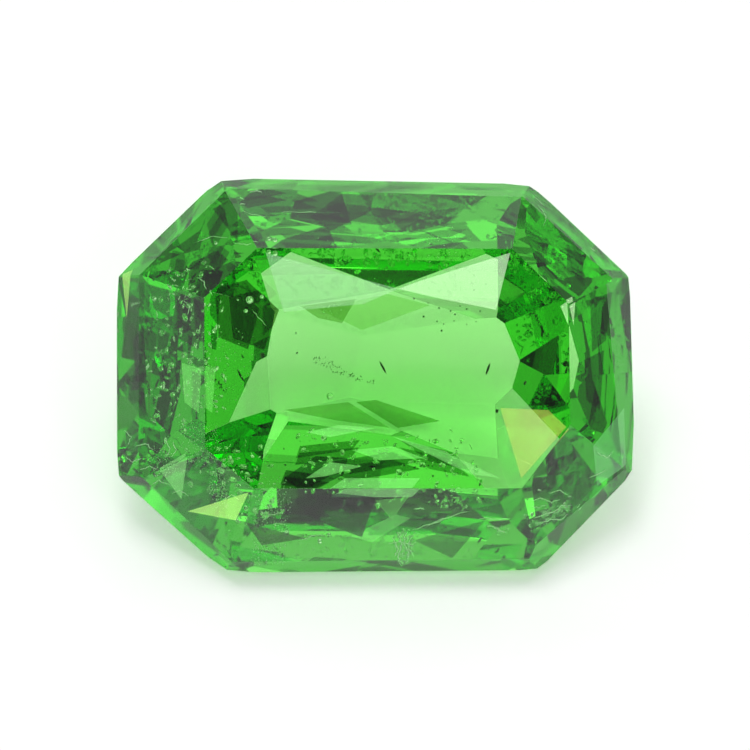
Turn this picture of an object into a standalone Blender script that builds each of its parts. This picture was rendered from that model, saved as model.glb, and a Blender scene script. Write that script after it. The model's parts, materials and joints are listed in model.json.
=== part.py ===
"""Faceted tsavorite garnet: an octagonal cut stone lying on its pavilion, with the table to the front.

The stone is ground the way a cutter works.  It starts as a plain block, and every facet is one flat
cut that takes away whatever stands outside it.  The cuts are set out in the stone's own frame, in
millimetres: the girdle plane is z = 0, the table looks up along +Z and the culet points down.  At
the end the stone is turned until the big pavilion facet of its front side lies flat on the ground,
as a loose stone comes to rest, which leans the table 33 degrees to the front.
"""

from dataclasses import dataclass
from math import cos, radians, sin

import bmesh
import bpy
from mathutils import Matrix, Vector

MM = 0.001
DOWN = Vector((0.0, 0.0, -1.0))
UP = Vector((0.0, 0.0, 1.0))

# The block before grinding, and the distance under which two points count as one, mm
BLOCK_SIZE = 12.0
SAME_POINT = 0.0005

# Heights above the girdle plane and depths below it, mm
TABLE_HEIGHT = 0.94
BEZEL_HEIGHT = 0.33
GIRDLE_THICKNESS = 0.12

# Plan of the girdle and of the table, mm: eight corners, clockwise from the left end of the back side
GIRDLE_CORNERS = (
    (-2.17, 2.75),
    (2.17, 2.67),
    (3.54, 1.37),
    (3.60, -1.32),
    (2.24, -2.71),
    (-2.13, -2.74),
    (-3.62, -1.39),
    (-3.61, 1.37),
)
TABLE_CORNERS = (
    (-1.73, 1.70),
    (1.82, 1.69),
    (2.60, 0.93),
    (2.61, -0.76),
    (1.93, -1.64),
    (-1.80, -1.64),
    (-2.47, -1.08),
    (-2.47, 1.01),
)


@dataclass(frozen=True)
class Side:
    """One side of the octagon, with what its facets need besides the two outlines.

    Attributes:
        bezel: Plan width of the narrow facet above the girdle, mm.
        slope: Slope of the big pavilion facet from the girdle plane, degrees.
    """

    bezel: float
    slope: float


SIDES = {
    "back": Side(bezel=0.19, slope=40.0),
    "back_right": Side(bezel=0.23, slope=41.5),
    "right": Side(bezel=0.29, slope=42.0),
    "front_right": Side(bezel=0.20, slope=34.0),
    "front": Side(bezel=0.13, slope=33.2),
    "front_left": Side(bezel=0.16, slope=32.6),
    "left": Side(bezel=0.28, slope=33.3),
    "back_left": Side(bezel=0.19, slope=37.5),
}

# Where the big facets of the four main sides end under the table, in plan, mm
TIPS = {
    "back": (0.22, 1.23),
    "right": (2.02, 0.24),
    "front": (0.27, -0.69),
    "left": (-1.64, 0.22),
}


@dataclass(frozen=True)
class Slant:
    """How a pavilion facet is tilted.

    Attributes:
        slope: Slope from the girdle plane, degrees.
        heading: Direction in plan that the facet faces, degrees from +X towards +Y.
    """

    slope: float
    heading: float


# Two narrow triangles meet at each tip, one towards either corner of the stone
TRIANGLES = {
    "back": (Slant(36.0, 92.0), Slant(36.5, 86.0)),
    "right": (Slant(39.0, 15.0), Slant(38.0, -19.0)),
    "front": (Slant(26.0, -80.5), Slant(32.8, -92.5)),
    "left": (Slant(30.0, -176.5), Slant(32.7, 173.0)),
}

# The low facets under the middle, each with its depth at the stone's axis, mm: two wide ones that
# meet in a keel, and a kite behind and in front of them
CULET_FACETS = {
    "right": (Slant(6.5, -35.0), 1.67),
    "left": (Slant(9.0, -176.0), 1.74),
    "back_kite": (Slant(30.0, 90.0), 2.07),
    "front_kite": (Slant(30.5, -92.0), 1.845),
}

# The side whose big pavilion facet the stone lies on
BED = "front"

CRYSTAL_GREEN = (0.10, 0.50, 0.09, 1.0)
GARNET_IOR = 1.74


@dataclass(frozen=True)
class Facet:
    """A flat cut: a point on it and the direction in which material is taken away."""

    point: Vector
    normal: Vector


def pavilion_facet(point, slope, facing):
    """Return the pavilion facet through a point.

    Args:
        point: Point on the facet, mm.
        slope: Angle from the girdle plane, degrees.
        facing: Horizontal unit vector that the facet faces.
    """
    return Facet(point, facing * sin(radians(slope)) + DOWN * cos(radians(slope)))


def slanted_facet(point, slant):
    """Return the pavilion facet through a point, tilted as its slant says."""
    heading = radians(slant.heading)
    return pavilion_facet(point, slant.slope, Vector((cos(heading), sin(heading), 0.0)))


def crown_facet(first, second, third):
    """Return the crown facet through three points."""
    normal = (second - first).cross(third - first).normalized()
    return Facet(first, normal if normal.z > 0.0 else -normal)


def point_on(facet, plan):
    """Return the point of a facet at a position in plan."""
    here = Vector((*plan, 0.0))
    height = (facet.point - here).dot(facet.normal) / facet.normal.z
    return here + UP * height


def side_line(corners, index, height):
    """Return both ends of one side of an outline, and the horizontal direction that it faces."""
    start = Vector((*corners[index], height))
    end = Vector((*corners[(index + 1) % len(corners)], height))
    along = (end - start).normalized()
    return start, end, Vector((-along.y, along.x, 0.0))


def crown_facets():
    """Return the table, and the main facet, bezel and girdle face of every side."""
    facets = [Facet(UP * TABLE_HEIGHT, UP)]
    for index, side in enumerate(SIDES.values()):
        start, end, facing = side_line(GIRDLE_CORNERS, index, 0.0)
        table_start, table_end, _ = side_line(TABLE_CORNERS, index, TABLE_HEIGHT)
        bezel_top = (start + end) / 2.0 - facing * side.bezel + UP * BEZEL_HEIGHT
        facets.append(crown_facet(table_start, table_end, bezel_top))
        facets.append(crown_facet(start, end, bezel_top))
        facets.append(Facet(start, facing))
    return facets


def main_facets():
    """Return the big pavilion facet below each side of the girdle, by the side's name."""
    mains = {}
    for index, (name, side) in enumerate(SIDES.items()):
        start, _, facing = side_line(GIRDLE_CORNERS, index, -GIRDLE_THICKNESS)
        mains[name] = pavilion_facet(start, side.slope, facing)
    return mains


def pavilion_facets():
    """Return the big facets of the pavilion, the triangles between them and the culet facets."""
    mains = main_facets()
    facets = list(mains.values())
    for name, pair in TRIANGLES.items():
        tip = point_on(mains[name], TIPS[name])
        facets.extend(slanted_facet(tip, slant) for slant in pair)
    facets.extend(slanted_facet(DOWN * depth, slant) for slant, depth in CULET_FACETS.values())
    return facets


def grind(stone, facet):
    """Cut the stone flat along a facet and close the cut with one face."""
    geometry = stone.verts[:] + stone.edges[:] + stone.faces[:]
    cut = bmesh.ops.bisect_plane(
        stone,
        geom=geometry,
        dist=SAME_POINT,
        plane_co=facet.point,
        plane_no=facet.normal,
        clear_outer=True,
    )
    rim = [item for item in cut["geom_cut"] if isinstance(item, bmesh.types.BMEdge)]
    open_rim = [edge for edge in rim if edge.is_boundary]
    if open_rim:
        bmesh.ops.edgeloop_fill(stone, edges=open_rim)


def cut_stone():
    """Grind every facet into a block and return the stone in its own frame, in millimetres."""
    stone = bmesh.new()
    bmesh.ops.create_cube(stone, size=BLOCK_SIZE)
    for facet in crown_facets() + pavilion_facets():
        grind(stone, facet)
    bmesh.ops.remove_doubles(stone, verts=stone.verts[:], dist=SAME_POINT)
    bmesh.ops.recalc_face_normals(stone, faces=stone.faces[:])
    return stone


def lay_down(stone):
    """Turn the stone onto its bed, and put the middle of its box's underside at the origin."""
    turn = main_facets()[BED].normal.rotation_difference(DOWN).to_matrix().to_4x4()
    bmesh.ops.transform(stone, matrix=Matrix.Scale(MM, 4) @ turn, verts=stone.verts[:])
    low = Vector(min(vert.co[axis] for vert in stone.verts) for axis in range(3))
    high = Vector(max(vert.co[axis] for vert in stone.verts) for axis in range(3))
    foot = Vector(((low.x + high.x) / 2.0, (low.y + high.y) / 2.0, low.z))
    bmesh.ops.translate(stone, vec=-foot, verts=stone.verts[:])


def crystal_material():
    """Return the clear green crystal."""
    material = bpy.data.materials.new("green_garnet")
    material.use_nodes = True
    shader = material.node_tree.nodes["Principled BSDF"]
    shader.inputs["Base Color"].default_value = CRYSTAL_GREEN
    shader.inputs["Metallic"].default_value = 0.0
    shader.inputs["Roughness"].default_value = 0.02
    shader.inputs["IOR"].default_value = GARNET_IOR
    shader.inputs["Transmission Weight"].default_value = 1.0
    return material


def clear_scene():
    """Remove whatever the file holds."""
    for thing in list(bpy.data.objects):
        bpy.data.objects.remove(thing, do_unlink=True)


def main():
    """Build the garnet."""
    clear_scene()
    stone = cut_stone()
    lay_down(stone)
    mesh = bpy.data.meshes.new("tsavorite_garnet")
    stone.to_mesh(mesh)
    stone.free()
    mesh.materials.append(crystal_material())
    garnet = bpy.data.objects.new("tsavorite_garnet", mesh)
    bpy.context.scene.collection.objects.link(garnet)


main()
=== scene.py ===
"""Faceted tsavorite garnet: the cut stone dressed as clear green crystal, with its inclusions.

Sizes are in millimetres unless a name says otherwise, and turn into metres where a mesh is made.
Two frames are used.  The stone's own frame has the girdle plane at z = 0 and the table looking up,
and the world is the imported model's frame, where the stone lies on a pavilion facet.
"""

from __future__ import annotations

import json
import logging
from dataclasses import dataclass, field
from enum import Enum
from functools import partial
from math import cos, pi, radians, sin, sqrt, tan
from random import Random
from typing import Any, Iterable, Sequence

import bmesh
import bpy
from mathutils import Matrix, Vector
from mathutils.bvhtree import BVHTree

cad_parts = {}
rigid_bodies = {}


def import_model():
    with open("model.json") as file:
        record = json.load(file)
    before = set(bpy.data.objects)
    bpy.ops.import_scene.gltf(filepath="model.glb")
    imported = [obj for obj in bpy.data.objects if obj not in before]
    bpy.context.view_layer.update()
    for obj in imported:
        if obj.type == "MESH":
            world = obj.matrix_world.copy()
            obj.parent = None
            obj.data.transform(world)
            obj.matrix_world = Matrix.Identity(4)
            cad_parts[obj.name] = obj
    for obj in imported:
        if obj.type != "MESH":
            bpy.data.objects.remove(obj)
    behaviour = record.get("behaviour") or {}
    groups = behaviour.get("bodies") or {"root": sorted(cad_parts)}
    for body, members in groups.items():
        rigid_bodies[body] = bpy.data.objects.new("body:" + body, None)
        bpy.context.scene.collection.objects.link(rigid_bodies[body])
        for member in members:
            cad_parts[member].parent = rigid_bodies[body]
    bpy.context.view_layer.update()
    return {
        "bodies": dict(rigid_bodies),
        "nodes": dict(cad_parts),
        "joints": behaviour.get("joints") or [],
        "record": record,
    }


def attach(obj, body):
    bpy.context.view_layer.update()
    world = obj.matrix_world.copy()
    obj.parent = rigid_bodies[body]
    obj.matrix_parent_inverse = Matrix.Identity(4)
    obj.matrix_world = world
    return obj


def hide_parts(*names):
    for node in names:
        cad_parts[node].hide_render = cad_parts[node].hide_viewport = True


LOG = logging.getLogger("garnet")

MM = 0.001
GARNET_IOR = 1.74
DOWN = Vector((0.0, 0.0, -1.0))

# Width of the picture in pixels, and two distances for lines of sight, mm
PICTURE = 750.0
STAND_OFF = 20.0
HAIR = 0.001

# Distance under which two points count as one and one off a cut counts as on it, mm, and the angle
# under which two triangles belong to one facet, degrees
SAME_POINT = 0.001
ON_THE_CUT = 0.0005
SAME_FACET = 0.05

# Turns that light may take inside the stone and between matt faces, and the brightest stray ray
INNER_TURNS = 40
MATT_TURNS = 3
BRIGHTEST_STRAY = 6.0


def linear(hex_colour: str) -> tuple[float, float, float, float]:
    """Turn an sRGB hex colour into linear red, green, blue and alpha.

    Args:
        hex_colour: Six hex digits, with or without a leading hash sign.

    Returns:
        The linear colour with alpha 1.
    """
    digits = hex_colour.lstrip("#")
    channels = []
    for start in (0, 2, 4):
        value = int(digits[start : start + 2], 16) / 255.0
        channels.append(value / 12.92 if value <= 0.04045 else ((value + 0.055) / 1.055) ** 2.4)
    return (channels[0], channels[1], channels[2], 1.0)


def add_node(
    tree: bpy.types.NodeTree,
    kind: str,
    settings: dict[str, Any] | None = None,
    inputs: dict[str | int, Any] | None = None,
) -> bpy.types.Node:
    """Add a node, set its properties, and fill or link its inputs.

    Args:
        tree: Node tree that gets the node.
        kind: Blender's type name of the node.
        settings: Properties of the node by name.
        inputs: Values or output sockets, by the input's name or number.

    Returns:
        The new node.
    """
    node = tree.nodes.new(kind)
    for name, value in (settings or {}).items():
        setattr(node, name, value)
    for key, value in (inputs or {}).items():
        if isinstance(value, bpy.types.NodeSocket):
            tree.links.new(value, node.inputs[key])
        else:
            node.inputs[key].default_value = value
    return node


def blank_material(name: str) -> tuple[bpy.types.Material, bpy.types.NodeTree]:
    """Make a material with an empty node tree.

    Args:
        name: Name of the material.

    Returns:
        The material and its tree.
    """
    material = bpy.data.materials.new(name)
    material.use_nodes = True
    material.node_tree.nodes.clear()
    return material, material.node_tree


def plain_material(name: str, inputs: dict[str, Any]) -> bpy.types.Material:
    """Return a material that is one plain surface shader.

    Args:
        name: Name of the material.
        inputs: The shader's values by name.

    Returns:
        The material.
    """
    material, tree = blank_material(name)
    surface = add_node(tree, "ShaderNodeBsdfPrincipled", inputs=inputs)
    add_node(tree, "ShaderNodeOutputMaterial", inputs={"Surface": surface.outputs[0]})
    return material


def pavilion_normal(slope: float, heading: float) -> Vector:
    """Return the outward normal of a pavilion facet, in the stone's own frame.

    Args:
        slope: Slope from the girdle plane, degrees.
        heading: Direction in plan that the facet faces, degrees from +X towards +Y.

    Returns:
        The unit normal.
    """
    tilt, facing = radians(slope), radians(heading)
    return Vector((sin(tilt) * cos(facing), sin(tilt) * sin(facing), -cos(tilt)))


@dataclass(frozen=True)
class Crystal:
    """Cut and polished garnet.

    Real tsavorite is green grossular.  It is perfectly clear between its inclusions, and vanadium
    takes red and blue out of the light that crosses it, so a short path looks pale yellow-green and
    a long one deep green.

    Attributes:
        red: Absorption of red, per millimetre.
        green: Absorption of green, per millimetre.
        blue: Absorption of blue, per millimetre.
        roughness: Roughness of the polished facets.
    """

    red: float = 0.41
    green: float = 0.065
    blue: float = 0.52
    roughness: float = 0.0

    def material(self, name: str) -> bpy.types.Material:
        """Return the crystal as plain transmission with an absorbing volume.

        Args:
            name: Name of the material.

        Returns:
            The material.
        """
        material, tree = blank_material(name)
        add = partial(add_node, tree)
        surface = add(
            "ShaderNodeBsdfPrincipled",
            inputs={
                "Base Color": linear("#ffffff"),
                "Metallic": 0.0,
                "Roughness": self.roughness,
                "IOR": GARNET_IOR,
                "Transmission Weight": 1.0,
            },
        )
        density = max(self.red, self.green, self.blue)
        passed = [1.0 - value / density for value in (self.red, self.green, self.blue)]
        volume = add(
            "ShaderNodeVolumeAbsorption",
            inputs={"Color": (*passed, 1.0), "Density": density / MM},
        )
        add(
            "ShaderNodeOutputMaterial",
            inputs={"Surface": surface.outputs[0], "Volume": volume.outputs[0]},
        )
        return material


@dataclass(frozen=True)
class Seat:
    """How the stone's own frame sits in the world.

    Attributes:
        slope: Slope of the pavilion facet that the stone lies on, degrees.
        heading: Direction in plan that this facet faces, degrees from +X towards +Y.
        middle: Where the middle of the girdle plane is in the world, mm.
    """

    slope: float = 33.2
    heading: float = -89.607
    middle: tuple[float, float, float] = (0.0138, -0.0004, 1.5927)

    def turn(self) -> Matrix:
        """Return the rotation from the stone's frame to the world's."""
        bed = pavilion_normal(self.slope, self.heading)
        return bed.rotation_difference(DOWN).to_matrix()

    def place(self, point: Vector) -> Vector:
        """Return where a point of the stone's frame is in the world, mm."""
        return self.turn() @ point + Vector(self.middle)


@dataclass(frozen=True)
class Viewpoint:
    """The camera: a long lens that looks almost straight at the table.

    Attributes:
        lean_x: How far the line of sight leans along the stone's length, degrees.
        lean_y: How far it leans along the stone's width, degrees.
        target: Point of the stone's frame in the middle of the picture, mm.
        distance: Distance of the camera, mm.
        field: Width that the picture takes in, mm.
        sensor: Width of the sensor, mm.
        depth: How many times nearer and farther than the target the camera still sees.
    """

    lean_x: float = 4.95
    lean_y: float = 4.35
    target: tuple[float, float, float] = (-0.021, 0.007, 0.0)
    distance: float = 400.0
    field: float = 10.4167
    sensor: float = 36.0
    depth: float = 10.0

    def axes(self, seat: Seat) -> tuple[Vector, Vector, Vector]:
        """Return the picture's right, its up and the way back to the camera, in the world.

        Args:
            seat: How the stone lies.

        Returns:
            The three unit vectors.
        """
        sight = Vector((tan(radians(self.lean_x)), tan(radians(self.lean_y)), -1.0)).normalized()
        right = Vector((1.0, 0.0, 0.0))
        right = (right - sight * right.dot(sight)).normalized()
        back = -sight
        turn = seat.turn()
        return turn @ right, turn @ back.cross(right), turn @ back

    def build(self, seat: Seat) -> bpy.types.Object:
        """Make the camera and hand it to the scene.

        Args:
            seat: How the stone lies.

        Returns:
            The camera.
        """
        right, up, back = self.axes(seat)
        place = (seat.place(Vector(self.target)) + back * self.distance) * MM
        data = bpy.data.cameras.new("camera")
        data.sensor_width = self.sensor
        data.lens = self.sensor * self.distance / self.field
        data.clip_start = self.distance * MM / self.depth
        data.clip_end = self.distance * MM * self.depth
        camera = bpy.data.objects.new("camera", data)
        basis = Matrix((right, up, back)).transposed().to_4x4()
        camera.matrix_world = Matrix.Translation(place) @ basis
        bpy.context.scene.collection.objects.link(camera)
        bpy.context.scene.camera = camera
        return camera


def metric_mesh(
    name: str, solid: bmesh.types.BMesh, material: bpy.types.Material
) -> bpy.types.Mesh:
    """Turn a solid that was built in mm into a dressed mesh in metres.

    Args:
        name: Name of the mesh.
        solid: The solid, mm, which is used up.
        material: Material of the mesh.

    Returns:
        The mesh.
    """
    bmesh.ops.scale(solid, vec=(MM,) * 3, verts=solid.verts[:])
    mesh = bpy.data.meshes.new(name)
    solid.to_mesh(mesh)
    solid.free()
    mesh.materials.append(material)
    return mesh


def mesh_object(name: str, mesh: bpy.types.Mesh) -> bpy.types.Object:
    """Return a new object for a mesh, linked to the scene at the origin.

    Args:
        name: Name of the object.
        mesh: Its mesh.

    Returns:
        The object.
    """
    thing = bpy.data.objects.new(name, mesh)
    bpy.context.scene.collection.objects.link(thing)
    return thing


@dataclass(frozen=True)
class BreakFacet:
    """A narrow facet that the cutter laid over a junction of the pavilion.

    Attributes:
        heading: Direction in plan that it faces, degrees from +X towards +Y.
        slope: Slope from the girdle plane, degrees.
        shave: How much it takes off the highest point that it reaches, mm.
    """

    heading: float
    slope: float
    shave: float


@dataclass
class Stone:
    """The cut stone: the CAD solid with its facet junctions just broken by polishing.

    Attributes:
        node: Name of the CAD node.
        finish: The crystal.
        edge: Width of the worn edges, mm.
        breaks: The narrow facets of the pavilion.
    """

    node: str = "tsavorite_garnet"
    finish: Crystal = field(default_factory=Crystal)
    edge: float = 0.005
    breaks: tuple[BreakFacet, ...] = (
        BreakFacet(-90.0, 52.0, 0.05),
        BreakFacet(90.0, 56.0, 0.05),
        BreakFacet(180.0, 52.0, 0.06),
        BreakFacet(0.0, 58.0, 0.05),
        BreakFacet(98.0, 41.0, 0.11),
        BreakFacet(82.0, 42.5, 0.10),
        BreakFacet(105.0, 45.0, 0.07),
        BreakFacet(74.0, 45.5, 0.07),
        BreakFacet(54.0, 43.0, 0.08),
        BreakFacet(38.0, 43.0, 0.07),
        BreakFacet(10.0, 44.0, 0.09),
        BreakFacet(-9.0, 42.5, 0.08),
        BreakFacet(-84.0, 31.4, 0.02),
        BreakFacet(-99.0, 31.2, 0.01),
        BreakFacet(-81.0, 36.0, 0.09),
        BreakFacet(-100.0, 36.5, 0.10),
        BreakFacet(-72.0, 39.0, 0.06),
        BreakFacet(-109.0, 39.5, 0.06),
        BreakFacet(-127.0, 35.0, 0.08),
        BreakFacet(-143.0, 35.5, 0.07),
        BreakFacet(172.0, 36.0, 0.09),
        BreakFacet(-171.0, 36.5, 0.09),
        BreakFacet(128.0, 40.5, 0.08),
        BreakFacet(143.0, 39.5, 0.08),
    )

    def solid(self, frame: dict[str, Any], seat: Seat) -> bmesh.types.BMesh:
        """Return the CAD solid with whole facets and the break facets, in the world, mm.

        Args:
            seat: How the stone lies.

        Returns:
            The solid.
        """
        solid = bmesh.new()
        solid.from_mesh(frame["nodes"][self.node].data)
        bmesh.ops.scale(solid, vec=(1.0 / MM,) * 3, verts=solid.verts[:])
        bmesh.ops.remove_doubles(solid, verts=solid.verts[:], dist=SAME_POINT)
        bmesh.ops.dissolve_limit(
            solid, angle_limit=radians(SAME_FACET), verts=solid.verts[:], edges=solid.edges[:]
        )
        for cut in self.breaks:
            self.grind(solid, cut, seat)
        bmesh.ops.recalc_face_normals(solid, faces=solid.faces[:])
        return solid

    @staticmethod
    def grind(solid: bmesh.types.BMesh, cut: BreakFacet, seat: Seat) -> None:
        """Grind one narrow facet onto the solid.

        Args:
            solid: The solid, in the world, mm.
            cut: The facet.
            seat: How the stone lies.
        """
        normal = seat.turn() @ pavilion_normal(cut.slope, cut.heading)
        reach = max(normal.dot(vert.co) for vert in solid.verts) - cut.shave
        made = bmesh.ops.bisect_plane(
            solid,
            geom=solid.verts[:] + solid.edges[:] + solid.faces[:],
            dist=ON_THE_CUT,
            plane_co=normal * reach,
            plane_no=normal,
            clear_outer=True,
        )
        rim = [item for item in made["geom_cut"] if isinstance(item, bmesh.types.BMEdge)]
        bmesh.ops.edgeloop_fill(solid, edges=[edge for edge in rim if edge.is_boundary])

    def build(self, solid: bmesh.types.BMesh) -> bpy.types.Object:
        """Build the stone, with worn edges, in place of its CAD node.

        Args:
            solid: The ground solid, in the world, mm, which is used up.

        Returns:
            The stone.
        """
        bmesh.ops.bevel(
            solid,
            geom=solid.edges[:],
            offset=self.edge,
            offset_type="WIDTH",
            segments=1,
            affect="EDGES",
            clamp_overlap=True,
        )
        mesh = metric_mesh("garnet_crystal", solid, self.finish.material("polished_tsavorite"))
        stone = mesh_object("garnet_crystal", mesh)
        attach(stone, "root")
        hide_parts(self.node)
        return stone


class Sight:
    """Lines of sight from the picture into the stone, bent by the facet that they enter."""

    def __init__(self, seat: Seat, viewpoint: Viewpoint, solid: bmesh.types.BMesh) -> None:
        """Keep the picture's axes and the stone's surface.

        Args:
            seat: How the stone lies.
            viewpoint: The camera.
            solid: The ground solid, in the world, mm.
        """
        self.right, self.up, self.back = viewpoint.axes(seat)
        self.middle = seat.place(Vector(viewpoint.target))
        self.scale = viewpoint.field / PICTURE
        self.surface = BVHTree.FromBMesh(solid)

    def into(self, across: float, down: float, share: float) -> Vector:
        """Return a point inside the stone that is seen at a place in the picture.

        Args:
            across: Distance from the picture's left edge, pixels.
            down: Distance from its top edge, pixels.
            share: How far along the bent line the point is, from 0 at the near facet to 1.

        Returns:
            The point in the world, mm.
        """
        start = self.middle + self.back * STAND_OFF
        start = start + self.right * ((across - PICTURE / 2.0) * self.scale)
        start = start - self.up * ((down - PICTURE / 2.0) * self.scale)
        near, normal, _, _ = self.surface.ray_cast(start, -self.back)
        if near is None:
            raise ValueError(f"nothing of the stone is seen at {across}, {down}")
        bent = self.bend(-self.back, normal)
        far, _, _, _ = self.surface.ray_cast(near + bent * HAIR, bent)
        return near + (far - near) * share

    @staticmethod
    def bend(ray: Vector, normal: Vector) -> Vector:
        """Return a ray's direction after it enters the crystal through a facet.

        Args:
            ray: Its unit direction outside.
            normal: The facet's outward unit normal.

        Returns:
            The unit direction inside.
        """
        facing = -ray.dot(normal)
        inner = sqrt(1.0 - (1.0 - facing * facing) / (GARNET_IOR * GARNET_IOR))
        return (ray / GARNET_IOR + normal * (facing / GARNET_IOR - inner)).normalized()


@dataclass(frozen=True)
class FluidPocket:
    """Clear pockets of fluid and colourless crystals that grew with the garnet.

    They bend light differently from the garnet, so each has a dark rim and a pale heart.

    Attributes:
        ior: How strongly a pocket bends light.
        roughness: Roughness of its walls.
        tint: What it lets through.
    """

    ior: float = 2.1
    roughness: float = 0.05
    tint: str = "#ffffff"

    def material(self, name: str) -> bpy.types.Material:
        """Return the clear material.

        Args:
            name: Name of the material.

        Returns:
            The material.
        """
        inputs = {
            "Base Color": linear(self.tint),
            "Roughness": self.roughness,
            "IOR": self.ior,
            "Transmission Weight": 1.0,
        }
        return plain_material(name, inputs)


class FilmKind(Enum):
    """Whether a thin film inside the stone is painted shade or painted light."""

    PAINTED_SHADE = "painted_shade_film"
    PAINTED_LIGHT = "painted_light_film"


@dataclass(frozen=True)
class PaintedShadeAndLight:
    """A thin film of painted shade or painted light.

    Tinted clear films are painted shade that darkens the facet behind them, and pale films that
    glow are painted light, glints and reflections.  A film bends no light, so the facet behind it
    keeps its outline.

    Attributes:
        kind: Painted shade or painted light.
        tint: What a film of painted shade lets through, or the colour of a film of painted light.
        cover: How much a film of painted light covers what lies behind it, from 0 to 1.
        glimmer: Painted light that a pale film gives off though it is no lamp, where 1 renders
            white.
        roughness: Roughness of a film of painted light.
    """

    kind: FilmKind
    tint: str
    cover: float = 0.12
    glimmer: float = 0.0
    roughness: float = 0.8

    def material(self, name: str) -> bpy.types.Material:
        """Return the film's material.

        Args:
            name: Name of the material.

        Returns:
            The material.
        """
        # Painted shade: a tinted clear sheet that darkens what lies behind it.
        if self.kind is FilmKind.PAINTED_SHADE:
            return FluidPocket(ior=1.0, roughness=0.0, tint=self.tint).material(name)
        # Painted light: a pale sheet whose emission is painted light, since it is no lamp.
        inputs = {
            "Base Color": linear(self.tint),
            "Roughness": self.roughness,
            "Specular IOR Level": 0.0,
            "Emission Color": linear(self.tint),
            "Emission Strength": self.glimmer / self.cover,
            "Alpha": self.cover,
        }
        return plain_material(name, inputs)


def painted_shade_film(tint: str) -> PaintedShadeAndLight:
    """Return a film of painted shade."""
    return PaintedShadeAndLight(FilmKind.PAINTED_SHADE, tint)


def painted_light_film(tint: str, glimmer: float) -> PaintedShadeAndLight:
    """Return a film of painted light, which glows though it is no lamp."""
    return PaintedShadeAndLight(FilmKind.PAINTED_LIGHT, tint, glimmer=glimmer)


@dataclass(frozen=True)
class MineralGrain:
    """Solid guest minerals: dark needles and specks, or pale grains and crack faces.

    A mottle of two tones keeps neighbouring grains from looking alike.

    Attributes:
        dark: Darker tone.
        light: Lighter tone.
        grain: Size of the mottle, mm.
        roughness: Roughness of the grains' faces.
    """

    dark: str
    light: str
    grain: float = 0.05
    roughness: float = 0.45

    def material(self, name: str) -> bpy.types.Material:
        """Return the mottled mineral.

        Args:
            name: Name of the material.

        Returns:
            The material.
        """
        material, tree = blank_material(name)
        add = partial(add_node, tree)
        place = add("ShaderNodeTexCoord").outputs["Object"]
        mottle = add(
            "ShaderNodeTexNoise", inputs={"Vector": place, "Scale": 1.0 / (self.grain * MM)}
        )
        tone = add(
            "ShaderNodeMix",
            {"data_type": "RGBA"},
            {"Factor": mottle.outputs[0], "A": linear(self.dark), "B": linear(self.light)},
        )
        surface = add(
            "ShaderNodeBsdfPrincipled",
            inputs={"Base Color": tone.outputs["Result"], "Roughness": self.roughness},
        )
        add("ShaderNodeOutputMaterial", inputs={"Surface": surface.outputs[0]})
        return material


def inclusion(name: str, mesh: bpy.types.Mesh) -> bpy.types.Object:
    """Return a piece inside the stone, which moves with it.

    Args:
        name: Name of the piece.
        mesh: Its mesh.

    Returns:
        The piece.
    """
    thing = mesh_object(name, mesh)
    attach(thing, "root")
    return thing


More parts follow.
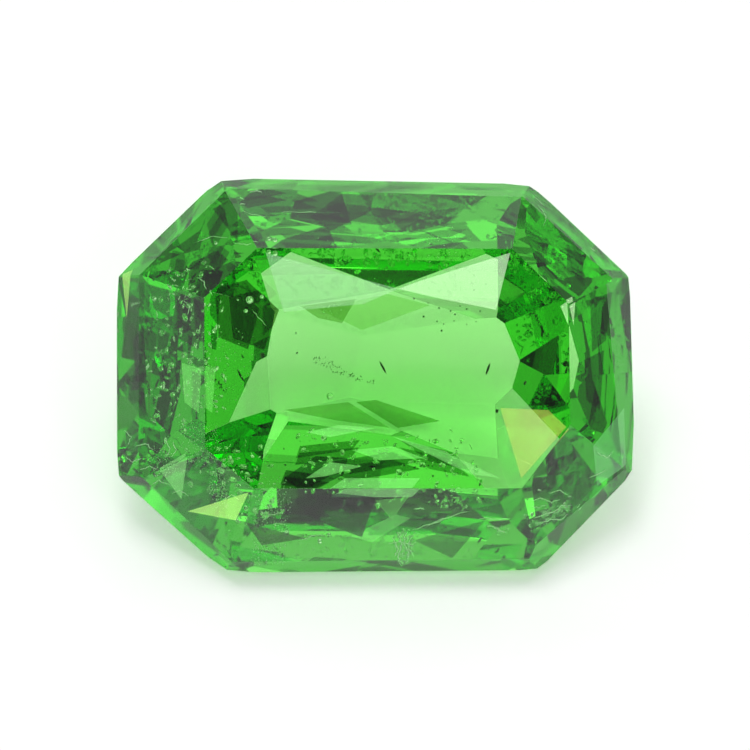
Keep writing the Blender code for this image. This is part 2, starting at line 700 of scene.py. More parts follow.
@dataclass(frozen=True)
class Sprinkle:
    """Small grains strewn over a hidden sheet by a Geometry Nodes tree.

    Attributes:
        per_mm2: Grains on a square millimetre of the sheet.
        size: Radius of a middling grain, mm.
        spread: How much the sizes differ, from 0 for all alike to 1.
        flat: Thickness of a grain as a share of its length.
        narrow: Width of a grain as a share of its length.
        depth: How far grains stray from the sheet, mm.
        seed: Seed of the random draws.
    """

    per_mm2: float
    size: float
    spread: float = 0.6
    flat: float = 0.5
    narrow: float = 0.7
    depth: float = 0.03
    seed: int = 1

    def tree(self, material: bpy.types.Material) -> tuple[bpy.types.NodeTree, dict[str, Any]]:
        """Build the node tree.

        Args:
            material: Material of the grains.

        Returns:
            The tree, and the value of each of its named inputs.
        """
        tree = bpy.data.node_groups.new("sprinkle", "GeometryNodeTree")
        face = tree.interface
        face.new_socket(name="Geometry", in_out="INPUT", socket_type="NodeSocketGeometry")
        values = {
            "Grains per mm2": self.per_mm2,
            "Smallest": self.size * (1.0 - self.spread),
            "Largest": self.size * (1.0 + self.spread),
            "Flatness": self.flat,
            "Narrowness": self.narrow,
            "Depth": self.depth,
        }
        for name in values:
            face.new_socket(name=name, in_out="INPUT", socket_type="NodeSocketFloat")
        face.new_socket(name="Seed", in_out="INPUT", socket_type="NodeSocketInt")
        face.new_socket(name="Geometry", in_out="OUTPUT", socket_type="NodeSocketGeometry")
        add = partial(add_node, tree)
        given = add("NodeGroupInput").outputs
        seed = given["Seed"]
        vector = {"data_type": "FLOAT_VECTOR"}
        points = add(
            "GeometryNodeDistributePointsOnFaces",
            inputs={"Mesh": given["Geometry"], "Density": given["Grains per mm2"], "Seed": seed},
        )
        stray = add(
            "FunctionNodeRandomValue", vector, {0: (-1.0,) * 3, 1: (1.0,) * 3, "Seed": seed}
        )
        away = add(
            "ShaderNodeVectorMath",
            {"operation": "SCALE"},
            {0: stray.outputs[0], "Scale": given["Depth"]},
        )
        strewn = add(
            "GeometryNodeSetPosition",
            inputs={"Geometry": points.outputs["Points"], "Offset": away.outputs[0]},
        )
        ball = add("GeometryNodeMeshIcoSphere", inputs={"Radius": 1.0, "Subdivisions": 1})
        thin = add(
            "ShaderNodeCombineXYZ", inputs={0: 1.0, 1: given["Narrowness"], 2: given["Flatness"]}
        )
        grain = add(
            "GeometryNodeTransform",
            inputs={"Geometry": ball.outputs["Mesh"], "Scale": thin.outputs[0]},
        )
        turn = add(
            "FunctionNodeRandomValue",
            vector,
            {0: (0.0,) * 3, 1: (pi, 2.0 * pi, 2.0 * pi), "Seed": seed},
        )
        size = add(
            "FunctionNodeRandomValue",
            {"data_type": "FLOAT"},
            {2: given["Smallest"], 3: given["Largest"], "Seed": seed},
        )
        placed = add(
            "GeometryNodeInstanceOnPoints",
            inputs={
                "Points": strewn.outputs[0],
                "Instance": grain.outputs[0],
                "Rotation": turn.outputs[0],
                "Scale": size.outputs[1],
            },
        )
        real = add("GeometryNodeRealizeInstances", inputs={"Geometry": placed.outputs[0]})
        metres = add(
            "GeometryNodeTransform", inputs={"Geometry": real.outputs[0], "Scale": (MM,) * 3}
        )
        dressed = add(
            "GeometryNodeSetMaterial", inputs={"Geometry": metres.outputs[0], "Material": material}
        )
        add("NodeGroupOutput", inputs={0: dressed.outputs[0]})
        return tree, {**values, "Seed": self.seed}

    def build(
        self, name: str, sheets: Iterable[bpy.types.Mesh], material: bpy.types.Material
    ) -> bpy.types.Object:
        """Strew the grains and return them as one plain piece.

        Args:
            name: Name of the piece.
            sheets: Hidden sheets in the world, mm, which are used up.
            material: Material of the grains.

        Returns:
            The piece.
        """
        carrier = bmesh.new()
        for sheet in sheets:
            carrier.from_mesh(sheet)
            bpy.data.meshes.remove(sheet)
        hidden = bpy.data.meshes.new("sheet")
        carrier.to_mesh(hidden)
        carrier.free()
        holder = mesh_object("sheet", hidden)
        modifier = holder.modifiers.new("sprinkle", "NODES")
        tree, values = self.tree(material)
        modifier.node_group = tree
        for socket in tree.interface.items_tree:
            if socket.in_out == "INPUT" and socket.name in values:
                modifier[socket.identifier] = values[socket.name]
        graph = bpy.context.evaluated_depsgraph_get()
        mesh = bpy.data.meshes.new_from_object(holder.evaluated_get(graph))
        mesh.name = name
        holder.modifiers.remove(modifier)
        bpy.data.objects.remove(holder)
        return inclusion(name, mesh)


def sheet_between(
    corners: Sequence[Vector], steps: int = 6, bulge: float = 0.0
) -> bpy.types.Mesh:
    """Return a hidden sheet spread between four points, bowed out in its middle.

    Args:
        corners: The four corners in order, mm.
        steps: Squares along each side.
        bulge: Height of the bow, mm.

    Returns:
        The sheet's mesh, mm.
    """
    first, second, third, fourth = corners
    normal = (second - first).cross(fourth - first).normalized()
    solid = bmesh.new()
    rows = []
    for row in range(steps + 1):
        down = row / steps
        line = []
        for column in range(steps + 1):
            along = column / steps
            near = first.lerp(second, along)
            far = fourth.lerp(third, along)
            bow = normal * (bulge * sin(pi * along) * sin(pi * down))
            line.append(solid.verts.new(near.lerp(far, down) + bow))
        rows.append(line)
    for upper, lower in zip(rows, rows[1:]):
        for start in range(steps):
            end = start + 1
            solid.faces.new((upper[start], upper[end], lower[end], lower[start]))
    mesh = bpy.data.meshes.new("sheet")
    solid.to_mesh(mesh)
    solid.free()
    return mesh


def add_tube(
    solid: bmesh.types.BMesh, path: Sequence[Vector], radius: float, sides: int = 6
) -> None:
    """Add a closed tube along a path, tapered to points at both ends.

    Args:
        solid: Mesh that gets the tube.
        path: Points of the tube's axis, mm.
        radius: Radius in the middle, mm.
        sides: Number of sides.
    """
    rings = []
    last = len(path) - 1
    for number in range(1, last):
        along = (path[number + 1] - path[number - 1]).normalized()
        side = along.orthogonal().normalized()
        other = along.cross(side)
        swell = radius * sin(pi * number / last) ** 0.5
        rings.append(
            [
                solid.verts.new(
                    path[number]
                    + side * (swell * cos(2.0 * pi * step / sides))
                    + other * (swell * sin(2.0 * pi * step / sides))
                )
                for step in range(sides)
            ]
        )
    tips = (solid.verts.new(path[0]), solid.verts.new(path[last]))
    for step in range(sides):
        after = (step + 1) % sides
        solid.faces.new((tips[0], rings[0][after], rings[0][step]))
        solid.faces.new((tips[1], rings[-1][step], rings[-1][after]))
        for near, far in zip(rings, rings[1:]):
            solid.faces.new((near[step], near[after], far[after], far[step]))


def crooked(points: Sequence[Vector], steps: int, jolt: float, draw: Random) -> list[Vector]:
    """Return a finer path through points, knocked about a little.

    Args:
        points: Points of the path, mm.
        steps: Steps between one point and the next.
        jolt: How far a point may move, mm.
        draw: Source of the random moves.

    Returns:
        The points of the finer path, mm.
    """
    path = []
    for start, end in zip(points, points[1:]):
        for step in range(steps):
            move = Vector((draw.uniform(-1, 1), draw.uniform(-1, 1), draw.uniform(-1, 1)))
            path.append(start.lerp(end, step / steps) + move * jolt)
    path.append(points[-1])
    return path


def add_grain(
    solid: bmesh.types.BMesh, place: Vector, radius: float, draw: Random, rough: float = 0.3
) -> None:
    """Add one small crystal: a ball knocked out of shape.

    Args:
        solid: Mesh that gets the grain.
        place: Its middle, mm.
        radius: Its radius, mm.
        draw: Source of its random shape.
        rough: How much it is stretched, as a share of the radius; its corners stray by a third.
    """
    made = bmesh.ops.create_icosphere(solid, subdivisions=2, radius=radius)
    stretch = Vector(draw.uniform(1.0 - rough, 1.0 + rough) for _ in range(3))
    dent = rough / 3.0
    turn = Matrix.Rotation(draw.uniform(0.0, pi), 3, Vector((draw.random(), draw.random(), 1.0)))
    for vert in made["verts"]:
        shaped = Vector(value * scale for value, scale in zip(vert.co, stretch))
        vert.co = turn @ (shaped * draw.uniform(1.0 - dent, 1.0 + dent)) + place


def places(row: Sequence[float]) -> list[tuple[float, float]]:
    """Return the places in a row of numbers that gives across and down in turn."""
    return list(zip(row[::2], row[1::2]))


@dataclass(frozen=True)
class Patch:
    """A strewn area, given by what it covers in the picture and how deep it lies.

    Attributes:
        outline: Its four corners in the picture, across and down in turn, pixels.
        share: How far along the line of sight it lies, from 0 at the near facet to 1.
        bulge: Height of its bow, mm.
    """

    outline: tuple[float, ...]
    share: float
    bulge: float = 0.05

    def sheet(self, sight: Sight) -> bpy.types.Mesh:
        """Return the hidden sheet of the patch."""
        corners = [sight.into(*corner, self.share) for corner in places(self.outline)]
        return sheet_between(corners, bulge=self.bulge)


@dataclass(frozen=True)
class Film:
    """A thin film of painted shade or painted light that covers one facet as it is seen in the
    picture.

    Attributes:
        name: Name of the piece.
        finish: Its material, which paints shade or light.
        share: How far along the line of sight it lies, from 0 at the near facet to 1.
        outline: Its corners in the picture, across and down in turn, pixels.
        thickness: Its thickness as a share of the line of sight.
    """

    name: str
    finish: PaintedShadeAndLight
    share: float
    outline: tuple[float, ...]
    thickness: float = 0.002


class Guest(Enum):
    """What a swarm of grains is made of."""

    PALE = "colourless_crystals"
    CLEAR = "healed_crack_fluid"
    SHADOW = "crack_shadow"


@dataclass(frozen=True)
class Swarm:
    """Grains of one kind, strewn over patches.

    Attributes:
        name: Name of the piece.
        guest: What the grains are made of.
        sprinkle: How they are strewn.
        patches: Where they lie.
    """

    name: str
    guest: Guest
    sprinkle: Sprinkle
    patches: tuple[Patch, ...]


# Dark needles: both ends in the picture, pixels, and the share of depth
NEEDLES = (
    (379.5, 361, 386.5, 374, 0.55),
    (486, 375, 490, 363, 0.5),
    (524, 385, 526, 381, 0.5),
)

# Dark specks: place, pixels, share of depth and radius, mm
DOTS = (
    (262.7, 355.7, 0.5, 0.034),
    (497, 411, 0.5, 0.022),
    (297, 353, 0.55, 0.012),
    (296, 333, 0.6, 0.014),
)

# Places of the finest dark dots, pixels
DUST = (
    (414, 298.6), (428, 303), (439, 308), (450.6, 311), (460, 306),
    (466.6, 309), (455, 314.4), (480, 311), (423.6, 316.6), (437, 321.4),
    (443.6, 324), (454, 321), (466.8, 324.4), (476, 321.6), (441.6, 330.6),
    (474, 290), (486, 284), (467, 268),
)

# White threads: share of depth, radius in mm, and the places that they pass, pixels. Most are the
# edges of healed cracks; the short white dabs at 440–466 across and 450–456 down, at 537–541 and
# 489–491, and at 567–572 and 496–497 are painted glints
WISPS = (
    (0.12, 0.01, 531, 500, 541, 498, 552, 502, 560, 499),
    (0.12, 0.012, 533, 519, 543, 514, 553, 512, 562, 506, 572, 505),
    (0.12, 0.01, 540, 524, 551, 519, 560, 520, 568, 514),
    (0.12, 0.008, 548, 493, 560, 490, 570, 496),
    (0.12, 0.008, 531, 506, 538, 508, 546, 505),
    (0.12, 0.012, 486, 525, 494, 527, 500, 531, 507, 533),
    (0.12, 0.008, 478, 519, 487, 517, 496, 519, 512, 518),
    (0.15, 0.008, 410, 530, 424, 526, 440, 521, 456, 514, 470, 511),
    (0.15, 0.007, 425, 527, 440, 519, 452, 517),
    (0.15, 0.01, 414, 509, 420, 508, 425, 509),
    (0.2, 0.007, 282, 212, 300, 213, 322, 212, 345, 212),
    (0.2, 0.006, 232, 243, 245, 245, 258, 249),
    (0.25, 0.006, 253, 310, 259, 318, 267, 326),
    (0.3, 0.007, 440, 450, 450, 455, 459, 451, 466, 456),
    (0.2, 0.009, 519, 458, 524, 462, 531, 464),
    (0.2, 0.008, 300, 540, 312, 536, 326, 534),
    (0.2, 0.007, 262, 521, 270, 515, 281, 512),
    (0.15, 0.011, 249, 192, 256, 191, 262, 193),
    (0.15, 0.011, 239, 198, 245, 199),
    (0.15, 0.011, 239, 204, 246, 204),
    (0.15, 0.006, 243, 211, 252, 214, 268, 218),
    (0.15, 0.01, 537, 489, 541, 491),
    (0.15, 0.01, 567, 497, 572, 496),
    (0.15, 0.012, 590, 247, 596, 251),
    (0.15, 0.012, 567, 302, 574, 303),
    (0.12, 0.01, 397, 531, 402, 543, 398, 556, 402, 566),
    (0.12, 0.009, 407, 529, 404, 541, 409, 552, 406, 563),
    (0.12, 0.008, 392, 536, 398, 549, 394, 560),
    (0.12, 0.008, 413, 533, 408, 546, 414, 557),
    (0.12, 0.007, 388, 544, 400, 541, 416, 545),
    (0.2, 0.008, 166, 441, 171, 448, 168, 456),
    (0.2, 0.008, 173, 440, 176, 450, 172, 457),
    (0.2, 0.008, 197, 277, 204, 281, 207, 290),
    (0.2, 0.007, 183, 300, 190, 306, 188, 315),
    (0.12, 0.009, 124, 430, 131, 437, 128, 446),
    (0.12, 0.008, 135, 447, 146, 444, 155, 450),
    (0.12, 0.009, 126, 456, 133, 462, 143, 458),
    (0.12, 0.008, 140, 470, 150, 466, 160, 471),
    (0.12, 0.008, 152, 484, 160, 480, 172, 486),
    (0.12, 0.007, 172, 494, 180, 490, 190, 496),
    (0.12, 0.008, 222, 500, 232, 495, 240, 500),
    (0.12, 0.007, 596, 452, 606, 458, 614, 452),
    (0.12, 0.007, 588, 478, 598, 474, 608, 468),
    (0.12, 0.007, 538, 205, 546, 215, 544, 228),
    (0.12, 0.008, 532, 194, 538, 200, 545, 206),
    (0.12, 0.007, 196, 243, 214, 236, 230, 238),
)

# Round fluid pockets: place, pixels, share of depth and radius, mm
BUBBLES = (
    (330, 396, 0.35, 0.05),
    (250, 300, 0.2, 0.055),
    (262, 297, 0.2, 0.03),
    (238, 300, 0.2, 0.015),
    (269, 239, 0.3, 0.035),
    (275, 240, 0.3, 0.045),
    (324, 438, 0.3, 0.04),
    (306, 482, 0.3, 0.02),
    (320, 541, 0.3, 0.035),
    (329, 534, 0.3, 0.03),
    (216, 243, 0.2, 0.03),
    (246, 311, 0.3, 0.03),
)

# Films of painted shade and painted light: tinted films darken facets, and pale glowing films stand
# for glints and bright reflections
FILMS = (
    Film("back_kite_painted_shade", painted_shade_film("#dcf0c8"), 0.975, (318, 309, 388, 294, 430, 305, 362, 330)),
    Film("back_corner_painted_shade", painted_shade_film("#b9d49c"), 0.975, (300, 306, 356, 299, 342, 323, 318, 318)),
    Film("front_kite_painted_shade", painted_shade_film("#bcd6a4"), 0.975, (284, 410, 348, 402, 390, 428, 334, 420)),
    Film("front_corner_painted_shade", painted_shade_film("#a9cc8c"), 0.975, (356, 402, 376, 400, 440, 421, 398, 428)),
    Film("left_painted_shade", painted_shade_film("#7f9c62"), 0.9, (229, 297, 258, 290, 279, 310, 264, 350, 233, 338)),
    Film(
        "back_crown_painted_shade",
        painted_shade_film("#7fa08c"),
        0.06,
        (310, 217, 342, 194, 374, 195, 370, 212, 331, 231),
    ),
    Film(
        "front_crown_painted_shade",
        painted_shade_film("#62877a"),
        0.06,
        (290, 499, 340, 493, 376, 497, 362, 537, 316, 520),
    ),
    Film("left_painted_light", painted_light_film("#e6f0ee", 0.07), 0.1, (266, 253, 398, 289, 364, 304, 284, 312)),
    Film(
        "right_painted_light", painted_light_film("#f6ffee", 0.17), 0.1, (510, 253, 496, 310, 432, 297, 398, 289, 420, 281)
    ),
    Film("warm_painted_light", painted_light_film("#ffdc80", 0.1), 0.1, (500, 408, 548, 410, 566, 427, 521, 478)),
    Film("corner_painted_light", painted_light_film("#d2ff8c", 0.22), 0.08, (188, 511, 249, 492, 236, 520)),
    Film("front_sliver_painted_shade", painted_shade_film("#86b070"), 0.95, (300, 446, 360, 440, 352, 450, 296, 458)),
    Film("middle_sliver_painted_shade", painted_shade_film("#7aa868"), 0.95, (330, 462, 392, 452, 420, 462, 350, 474)),
    Film("left_sliver_painted_shade", painted_shade_film("#6f9a60"), 0.95, (286, 470, 330, 476, 310, 487, 280, 485)),
    Film("right_sliver_painted_shade", painted_shade_film("#90b87c"), 0.95, (400, 440, 452, 452, 470, 470, 430, 462)),
    Film("front_sliver_painted_light", painted_light_film("#c8ffc0", 0.12), 0.3, (306, 432, 340, 425, 375, 428, 330, 437)),
    Film("edge_sliver_painted_light", painted_light_film("#c8ffc0", 0.1), 0.3, (345, 478, 420, 478, 412, 488, 330, 488)),
    Film("long_sliver_painted_light", painted_light_film("#c8ffc0", 0.1), 0.3, (392, 436, 440, 450, 500, 478, 470, 474)),
    Film("left_sliver_painted_light", painted_light_film("#b4ffa8", 0.14), 0.3, (306, 478, 330, 462, 362, 466, 326, 476)),
    Film(
        "middle_sliver_painted_light", painted_light_film("#b4ffa8", 0.12), 0.3, (352, 450, 392, 446, 424, 458, 380, 460)
    ),
    Film("crown_painted_light", painted_light_film("#9cf08c", 0.06), 0.08, (350, 536, 396, 514, 410, 518, 372, 542)),
    Film("right_top_painted_shade", painted_shade_film("#8fb59a"), 0.2, (567, 244, 582, 248, 585, 286, 567, 270)),
    Film("right_rim_painted_shade", painted_shade_film("#8aab94"), 0.15, (590, 300, 612, 292, 606, 340, 592, 352)),
    Film("right_low_painted_shade", painted_shade_film("#86a890"), 0.15, (584, 360, 604, 350, 600, 410, 586, 400)),
    Film("right_painted_glint", painted_light_film("#e8ffd8", 0.2), 0.15, (566, 300, 575, 302, 568, 325)),
    Film(
        "right_corner_painted_light", painted_light_film("#bff0cc", 0.05), 0.12, (593, 446, 624, 408, 626, 464, 597, 486)
    ),
    Film("left_rim_painted_glint", painted_light_film("#d8ff90", 0.16), 0.15, (123, 274, 133, 270, 127, 318)),
    Film("left_rim_painted_shade", painted_shade_film("#6f9a78"), 0.15, (133, 341, 144, 325, 147, 385, 136, 380)),
    Film("left_strip_painted_light", painted_light_film("#b4ffa4", 0.09), 0.3, (182, 363, 202, 369, 199, 413, 185, 402)),
    Film("left_top_painted_shade", painted_shade_film("#7d9f80"), 0.12, (213, 209, 240, 196, 238, 242)),
    Film("left_corner_painted_shade", painted_shade_film("#7d9a62"), 0.1, (246, 522, 306, 538, 262, 545)),
    Film("left_corner_painted_glint", painted_light_film("#b8ffa8", 0.1), 0.15, (160, 468, 188, 457, 182, 499)),
    Film("front_crown_painted_light", painted_light_film("#8ce878", 0.06), 0.1, (375, 500, 408, 497, 392, 520)),
    Film("front_edge_painted_shade", painted_shade_film("#8fb08a"), 0.1, (414, 540, 485, 520, 452, 558)),
)

# Strewn grains
SWARMS = (
    Swarm(
        "feather",
        Guest.SHADOW,
        Sprinkle(900.0, 0.011, flat=0.3, depth=0.012, seed=21),
        (
            Patch((305, 355, 330, 358, 332, 372, 312, 362), 0.5, 0.0),
            Patch((330, 359, 352, 373, 346, 377, 330, 371), 0.5, 0.0),
            Patch((348, 373, 375, 380, 374, 385, 348, 378), 0.5, 0.0),
        ),
    ),
    Swarm(
        "pale_crystals",
        Guest.CLEAR,
        Sprinkle(55.0, 0.028, flat=0.7, depth=0.1, seed=22),
        (
            Patch((186, 274, 208, 288, 212, 320, 188, 318), 0.3, 0.1),
            Patch((178, 296, 190, 290, 200, 330, 190, 335), 0.3, 0.05),
            Patch((132, 298, 140, 298, 140, 332, 133, 332), 0.35),
            Patch((143, 345, 154, 345, 158, 392, 144, 392), 0.35),
            Patch((190, 325, 202, 325, 202, 365, 190, 365), 0.35),
        ),
    ),
    Swarm(
        "hazy_veil",
        Guest.PALE,
        Sprinkle(900.0, 0.008, flat=0.5, depth=0.06, seed=23),
        (
            Patch((178, 420, 214, 424, 216, 462, 182, 452), 0.3, 0.1),
            Patch((150, 452, 172, 440, 178, 470, 152, 474), 0.3, 0.1),
            Patch((212, 468, 228, 470, 228, 508, 212, 500), 0.3, 0.1),
            Patch((250, 490, 290, 492, 285, 560, 250, 565), 0.3, 0.1),
        ),
    ),
    Swarm(
        "left_crackle",
        Guest.CLEAR,
        Sprinkle(70.0, 0.045, flat=0.12, depth=0.15, seed=26),
        (
            Patch((164, 268, 212, 256, 222, 420, 146, 425), 0.35, 0.2),
            Patch((160, 435, 262, 445, 290, 540, 232, 525), 0.3, 0.2),
            Patch((300, 430, 480, 440, 470, 480, 300, 480), 0.6, 0.1),
        ),
    ),
    Swarm(
        "sugary_grains",
        Guest.PALE,
        Sprinkle(130.0, 0.009, flat=0.8, depth=0.08, seed=24),
        (
            Patch((318, 266, 350, 268, 385, 288, 345, 284), 0.6),
            Patch((306, 306, 346, 304, 340, 322, 312, 320), 0.5),
            Patch((422, 246, 440, 230, 476, 230, 470, 246), 0.4),
            Patch((190, 330, 250, 330, 260, 400, 190, 400), 0.35, 0.2),
        ),
    ),
    Swarm(
        "crackled_plume",
        Guest.CLEAR,
        Sprinkle(700.0, 0.03, flat=0.08, depth=0.05, seed=25),
        (
            Patch((394, 530, 416, 532, 408, 566, 396, 562), 0.25, 0.1),
            Patch((530, 514, 560, 502, 580, 506, 536, 528), 0.25, 0.1),
            Patch((488, 526, 506, 528, 506, 534, 488, 530), 0.25),
            Patch((438, 498, 464, 500, 466, 508, 440, 508), 0.25),
        ),
    ),
)


@dataclass
class Inclusions:
    """Everything inside the crystal.

    Attributes:
        seed: Seed of the random draws.
        needles: Dark needles: both ends in the picture, pixels, and the share of depth.
        needle_radius: Radius of a needle, mm.
        needle_slant: How much deeper its second end lies, as a share of depth.
        needle_steps: Steps along a needle.
        needle_jolt: How far a needle strays from straight, mm.
        dots: Dark specks: place, pixels, share of depth and radius, mm.
        dot_rough: How rough a dark speck is.
        dust: Places of the finest dark dots, pixels.
        dust_share: Least and greatest share of depth of a dot.
        dust_radius: Least and greatest radius of a dot, mm.
        wisps: White threads, a few of them painted glints: share of depth, radius in mm, and the
            places that they pass, pixels.
        wisp_steps: Steps from one place of a thread to the next.
        wisp_jolt: How far a thread strays from its places, mm.
        wisp_sides: Sides of a thread.
        bubbles: Round fluid pockets: place, pixels, share of depth and radius, mm.
        bubble_rough: How rough a fluid pocket is.
        films: Films of painted shade and painted light.
        swarms: Strewn grains.
    """

    seed: int = 11
    needles: tuple[tuple[float, ...], ...] = NEEDLES
    needle_radius: float = 0.016
    needle_slant: float = 0.03
    needle_steps: int = 6
    needle_jolt: float = 0.004
    dots: tuple[tuple[float, ...], ...] = DOTS
    dot_rough: float = 0.5
    dust: tuple[tuple[float, float], ...] = DUST
    dust_share: tuple[float, float] = (0.45, 0.6)
    dust_radius: tuple[float, float] = (0.008, 0.013)
    wisps: tuple[tuple[float, ...], ...] = WISPS
    wisp_steps: int = 4
    wisp_jolt: float = 0.012
    wisp_sides: int = 5
    bubbles: tuple[tuple[float, ...], ...] = BUBBLES
    bubble_rough: float = 0.12
    films: tuple[Film, ...] = FILMS
    swarms: tuple[Swarm, ...] = SWARMS

    def dark_needles(self, sight: Sight) -> bpy.types.Object:
        """Build the dark needles, as actinolite needles lie in garnet.

        Args:
            sight: Lines of sight into the stone.

        Returns:
            The piece.
        """
        draw = Random(self.seed)
        solid = bmesh.new()
        for x0, y0, x1, y1, share in self.needles:
            ends = (sight.into(x0, y0, share), sight.into(x1, y1, share + self.needle_slant))
            path = crooked(ends, self.needle_steps, self.needle_jolt, draw)
            add_tube(solid, path, self.needle_radius)
        finish = MineralGrain("#0c2a10", "#1d3a1c", grain=0.03)
        return self.finished("dark_needles", solid, finish.material("actinolite"))

    def dark_dots(self, sight: Sight) -> bpy.types.Object:
        """Build the dark specks and the finest dots.

        Args:
            sight: Lines of sight into the stone.

        Returns:
            The piece.
        """
        draw = Random(self.seed + 1)
        solid = bmesh.new()
        for across, down, share, radius in self.dots:
            add_grain(solid, sight.into(across, down, share), radius, draw, self.dot_rough)
        for across, down in self.dust:
            share = draw.uniform(*self.dust_share)
            place = sight.into(across, down, share)
            add_grain(solid, place, draw.uniform(*self.dust_radius), draw)
        finish = MineralGrain("#081f0a", "#16380f", grain=0.03)
        return self.finished("dark_specks", solid, finish.material("graphite_specks"))

    def round_bubbles(self, sight: Sight) -> bpy.types.Object:
        """Build the round fluid pockets.

        Args:
            sight: Lines of sight into the stone.

        Returns:
            The piece.
        """
        draw = Random(self.seed + 2)
        solid = bmesh.new()
        for across, down, share, radius in self.bubbles:
            add_grain(solid, sight.into(across, down, share), radius, draw, self.bubble_rough)
        for face in solid.faces:
            face.smooth = True
        return self.finished("fluid_bubbles", solid, FluidPocket().material("fluid_pocket"))

    def white_wisps(self, sight: Sight) -> bpy.types.Object:
        """Build the white curved threads: the edges of partly healed cracks, and a few short white
        dabs that are painted glints.

        Args:
            sight: Lines of sight into the stone.

        Returns:
            The piece.
        """
        draw = Random(self.seed + 3)
        solid = bmesh.new()
        for share, radius, *row in self.wisps:
            points = [sight.into(*place, share) for place in places(row)]
            path = crooked(points, self.wisp_steps, self.wisp_jolt, draw)
            add_tube(solid, path, radius, self.wisp_sides)
        # White crack edges; the short dabs among them are painted glints
        finish = MineralGrain("#cfe8cb", "#ffffff", grain=0.02, roughness=0.25)
        return self.finished("white_wisps", solid, finish.material("crack_edges_and_painted_glints"))

    def film(self, sight: Sight, film: Film) -> bpy.types.Object:
        """Build a film of painted shade or painted light as a closed sheet.

        Args:
            sight: Lines of sight into the stone.
            film: The film.

        Returns:
            The piece.
        """
        solid = bmesh.new()
        back = film.share + film.thickness
        corners = places(film.outline)
        near = [solid.verts.new(sight.into(*corner, film.share)) for corner in corners]
        far = [solid.verts.new(sight.into(*corner, back)) for corner in corners]
        solid.faces.new(near)
        solid.faces.new(reversed(far))
        for start in range(len(near)):
            end = (start + 1) % len(near)
            solid.faces.new((near[start], far[start], far[end], near[end]))
        return self.finished(film.name, solid, film.finish.material(film.name))

    @staticmethod
    def finished(
        name: str, solid: bmesh.types.BMesh, material: bpy.types.Material
    ) -> bpy.types.Object:
        """Turn a mesh that was built in mm into a piece."""
        bmesh.ops.recalc_face_normals(solid, faces=solid.faces[:])
        return inclusion(name, metric_mesh(name, solid, material))

    def build(self, sight: Sight) -> list[bpy.types.Object]:
        """Build all inclusions.

        Args:
            sight: Lines of sight into the stone.

        Returns:
            The pieces.
        """
        finishes = {
            Guest.PALE: MineralGrain("#9fc79a", "#f2fff0", grain=0.02, roughness=0.3),
            Guest.CLEAR: FluidPocket(),
            Guest.SHADOW: MineralGrain("#0b2c0c", "#2c5a20", grain=0.02),
        }
        dressed = {guest: finish.material(guest.value) for guest, finish in finishes.items()}
        pieces = [
            self.dark_needles(sight),
            self.dark_dots(sight),
            self.round_bubbles(sight),
            self.white_wisps(sight),
        ]
        # Films of painted shade and painted light
        pieces += [self.film(sight, film) for film in self.films]
        for swarm in self.swarms:
            sheets = [patch.sheet(sight) for patch in swarm.patches]
            pieces.append(swarm.sprinkle.build(swarm.name, sheets, dressed[swarm.guest]))
        return pieces


@dataclass(frozen=True)
class Panel:
    """A soft light panel that faces the stone.

    Attributes:
        azimuth: Where it stands around the stone, degrees from the front towards the right.
        elevation: How high it stands, degrees.
        width: Its width, degrees as seen from the stone.
        height: Its height, degrees as seen from the stone.
        radiance: Its brightness, where 1 renders white.
        tint: Its colour.
    """

    azimuth: float
    elevation: float
    width: float
    height: float
    radiance: float
    tint: str = "#ffffff"


@dataclass(frozen=True)
class Card:
    """A round card on the light tent, lighter or darker than the cloth around it.

    Attributes:
        azimuth: Where it hangs around the stone, degrees from the front towards the right.
        elevation: How high it hangs, degrees.
        radius: Its radius as seen from the stone, degrees.
        level: Its brightness, where 1 renders white.
    """

    azimuth: float
    elevation: float
    radius: float
    level: float


def heading_vector(azimuth: float, elevation: float) -> Vector:
    """Return the unit vector towards an azimuth from the front and an elevation, degrees."""
    across, rise = radians(azimuth), radians(elevation)
    return Vector((sin(across) * cos(rise), -cos(across) * cos(rise), sin(rise)))


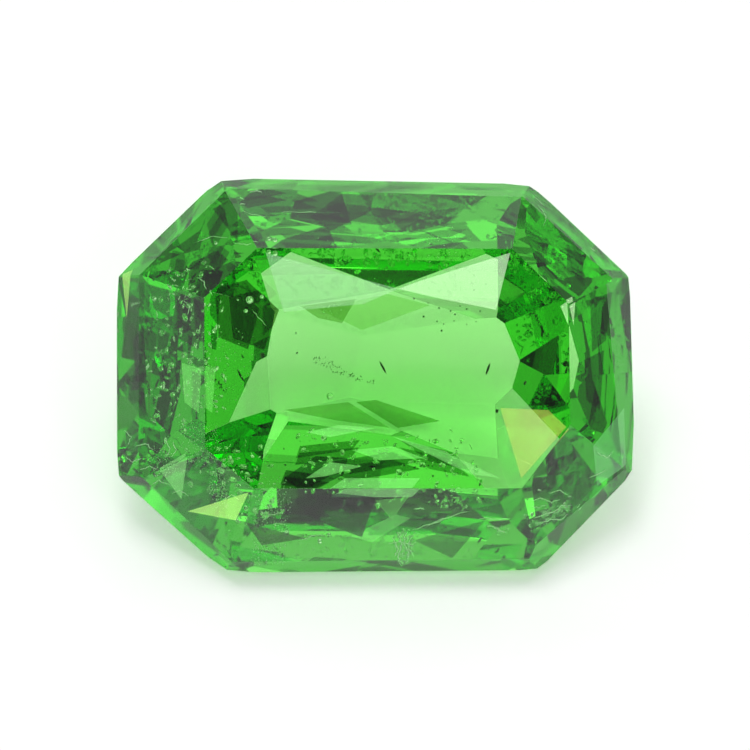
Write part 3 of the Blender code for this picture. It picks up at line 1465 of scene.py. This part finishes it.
@dataclass
class Studio:
    """A pale light table under the stone, inside a white cloth tent with cards and one lamp.

    Attributes:
        reach: Distance of the lamp, mm.
        tent: Brightness of the tent's cloth, where 1 renders white.
        glow: Light that the table itself gives, where 1 renders white.
        far_glow: The same outside the lit pool.
        pool: Radius of the evenly lit pool, mm.
        fade: Radius at which the table's own light has faded, mm.
        half_floor: Half the floor's width, mm.
        gap: How far the floor lies under the stone's lowest facet, mm.
        soft: Width of a card's soft rim, degrees.
        lamp: The lamp outside the tent that gives the shadow its direction.
        cards: The cards, with the dark opening that the lens looks through as the last.
    """

    reach: float = 500.0
    tent: float = 0.74
    glow: float = 0.2
    far_glow: float = 0.0
    pool: float = 8.0
    fade: float = 24.0
    half_floor: float = 1500.0
    gap: float = 0.01
    soft: float = 1.0
    lamp: Panel = Panel(215.0, 72.0, 24.0, 24.0, 4.9)
    cards: tuple[Card, ...] = (
        Card(80.0, 48.0, 20.0, 0.2),
        Card(265.0, 58.0, 14.0, 0.2),
        Card(180.0, 46.0, 20.0, 1.1),
        Card(36.0, 50.0, 9.0, 1.4),
        Card(144.0, 46.0, 9.0, 2.0),
        Card(216.0, 28.0, 12.0, 1.8),
        Card(270.0, 8.0, 12.0, 0.7),
        Card(97.0, 6.0, 12.0, 0.3),
        Card(128.0, 26.0, 11.0, 0.35),
        Card(231.0, 46.0, 8.0, 0.4),
        Card(186.0, 30.0, 6.0, 0.1),
        Card(318.0, 44.0, 9.0, 0.15),
        Card(300.0, 20.0, 11.0, 0.15),
        Card(60.0, 24.0, 7.0, 0.15),
        Card(0.0, 30.0, 10.0, 1.3),
        Card(180.0, 10.0, 10.0, 1.3),
        Card(-2.0, 57.0, 11.0, 0.12),
    )

    def floor(self) -> bpy.types.Object:
        """Make the floor, a sheet of matt opal plastic that is lit from below.

        Returns:
            The floor.
        """
        solid = bmesh.new()
        half = self.half_floor
        corners = ((-half, -half), (half, -half), (half, half), (-half, half))
        solid.faces.new([solid.verts.new((x, y, -self.gap)) for x, y in corners])
        material, tree = blank_material("opal_plastic")
        add = partial(add_node, tree)
        place = add("ShaderNodeTexCoord").outputs["Object"]
        distance = add("ShaderNodeVectorMath", {"operation": "LENGTH"}, {0: place})
        glow = add(
            "ShaderNodeMapRange",
            {"interpolation_type": "SMOOTHSTEP"},
            {
                "Value": distance.outputs["Value"],
                "From Min": self.pool * MM,
                "From Max": self.fade * MM,
                "To Min": self.glow,
                "To Max": self.far_glow,
            },
        )
        surface = add(
            "ShaderNodeBsdfPrincipled",
            inputs={
                "Base Color": linear("#f4f5f4"),
                "Roughness": 0.7,
                "Specular IOR Level": 0.0,
                "Emission Color": linear("#ffffff"),
                "Emission Strength": glow.outputs[0],
            },
        )
        add("ShaderNodeOutputMaterial", inputs={"Surface": surface.outputs[0]})
        floor = mesh_object("floor", metric_mesh("floor", solid, material))
        return floor

    def hang(self, panel: Panel) -> bpy.types.Object:
        """Hang the lamp so that it faces the stone.

        Args:
            panel: The lamp's place, size and brightness.

        Returns:
            The lamp.
        """
        data = bpy.data.lights.new("lamp", "AREA")
        data.shape = "RECTANGLE"
        reach = self.reach * MM
        data.size = 2.0 * reach * tan(radians(panel.width / 2.0))
        data.size_y = 2.0 * reach * tan(radians(panel.height / 2.0))
        data.energy = panel.radiance * pi * data.size * data.size_y
        data.color = linear(panel.tint)[:3]
        light = bpy.data.objects.new("lamp", data)
        away = heading_vector(panel.azimuth, panel.elevation)
        light.rotation_euler = away.to_track_quat("Z", "Y").to_euler()
        light.location = away * reach
        bpy.context.scene.collection.objects.link(light)
        return light

    def hang_tent(self) -> None:
        """Make the tent and its cards, as the world's own light."""
        world = bpy.data.worlds.new("tent")
        world.use_nodes = True
        tree = world.node_tree
        tree.nodes.clear()
        add = partial(add_node, tree)
        towards = add("ShaderNodeTexCoord").outputs["Generated"]
        level: Any = self.tent
        for card in self.cards:
            middle = heading_vector(card.azimuth, card.elevation)
            nearness = add(
                "ShaderNodeVectorMath", {"operation": "DOT_PRODUCT"}, {0: towards, 1: middle}
            )
            cover = add(
                "ShaderNodeMapRange",
                {"interpolation_type": "SMOOTHSTEP"},
                {
                    "Value": nearness.outputs["Value"],
                    "From Min": cos(radians(card.radius + self.soft)),
                    "From Max": cos(radians(card.radius - self.soft)),
                },
            )
            mixed = add(
                "ShaderNodeMix",
                {"data_type": "FLOAT"},
                {"Factor": cover.outputs[0], 2: level, 3: card.level},
            )
            level = mixed.outputs[0]
        cloth = add(
            "ShaderNodeBackground", inputs={"Color": linear("#fdfffd"), "Strength": level}
        )
        add("ShaderNodeOutputWorld", inputs={"Surface": cloth.outputs[0]})
        bpy.context.scene.world = world

    def build(self) -> None:
        """Build the floor, the lamp and the tent."""
        self.floor()
        self.hang(self.lamp)
        self.hang_tent()


def set_light_paths() -> None:
    """Let light take the many turns inside the stone, and show colours as they are."""
    scene = bpy.context.scene
    scene.view_settings.view_transform = "Standard"
    cycles = scene.cycles
    cycles.max_bounces = INNER_TURNS
    cycles.transmission_bounces = INNER_TURNS
    cycles.glossy_bounces = INNER_TURNS
    cycles.diffuse_bounces = MATT_TURNS
    cycles.caustics_reflective = True
    cycles.caustics_refractive = True
    cycles.blur_glossy = 0.0
    cycles.sample_clamp_indirect = BRIGHTEST_STRAY
    cycles.use_denoising = True
    cycles.denoising_input_passes = "RGB_ALBEDO"


def main() -> None:
    """Build the studio, the stone and what is in it, and log each piece that is built."""
    logging.basicConfig(level=logging.INFO, format="%(name)s: %(message)s")
    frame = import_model()
    seat, viewpoint = Seat(), Viewpoint()
    viewpoint.build(seat)
    Studio().build()
    set_light_paths()
    stone = Stone()
    solid = stone.solid(frame, seat)
    sight = Sight(seat, viewpoint, solid)
    LOG.info("built %s", stone.build(solid).name)
    for piece in Inclusions().build(sight):
        LOG.info("built %s, %d faces", piece.name, len(piece.data.polygons))


if __name__ == "__main__":
    main()
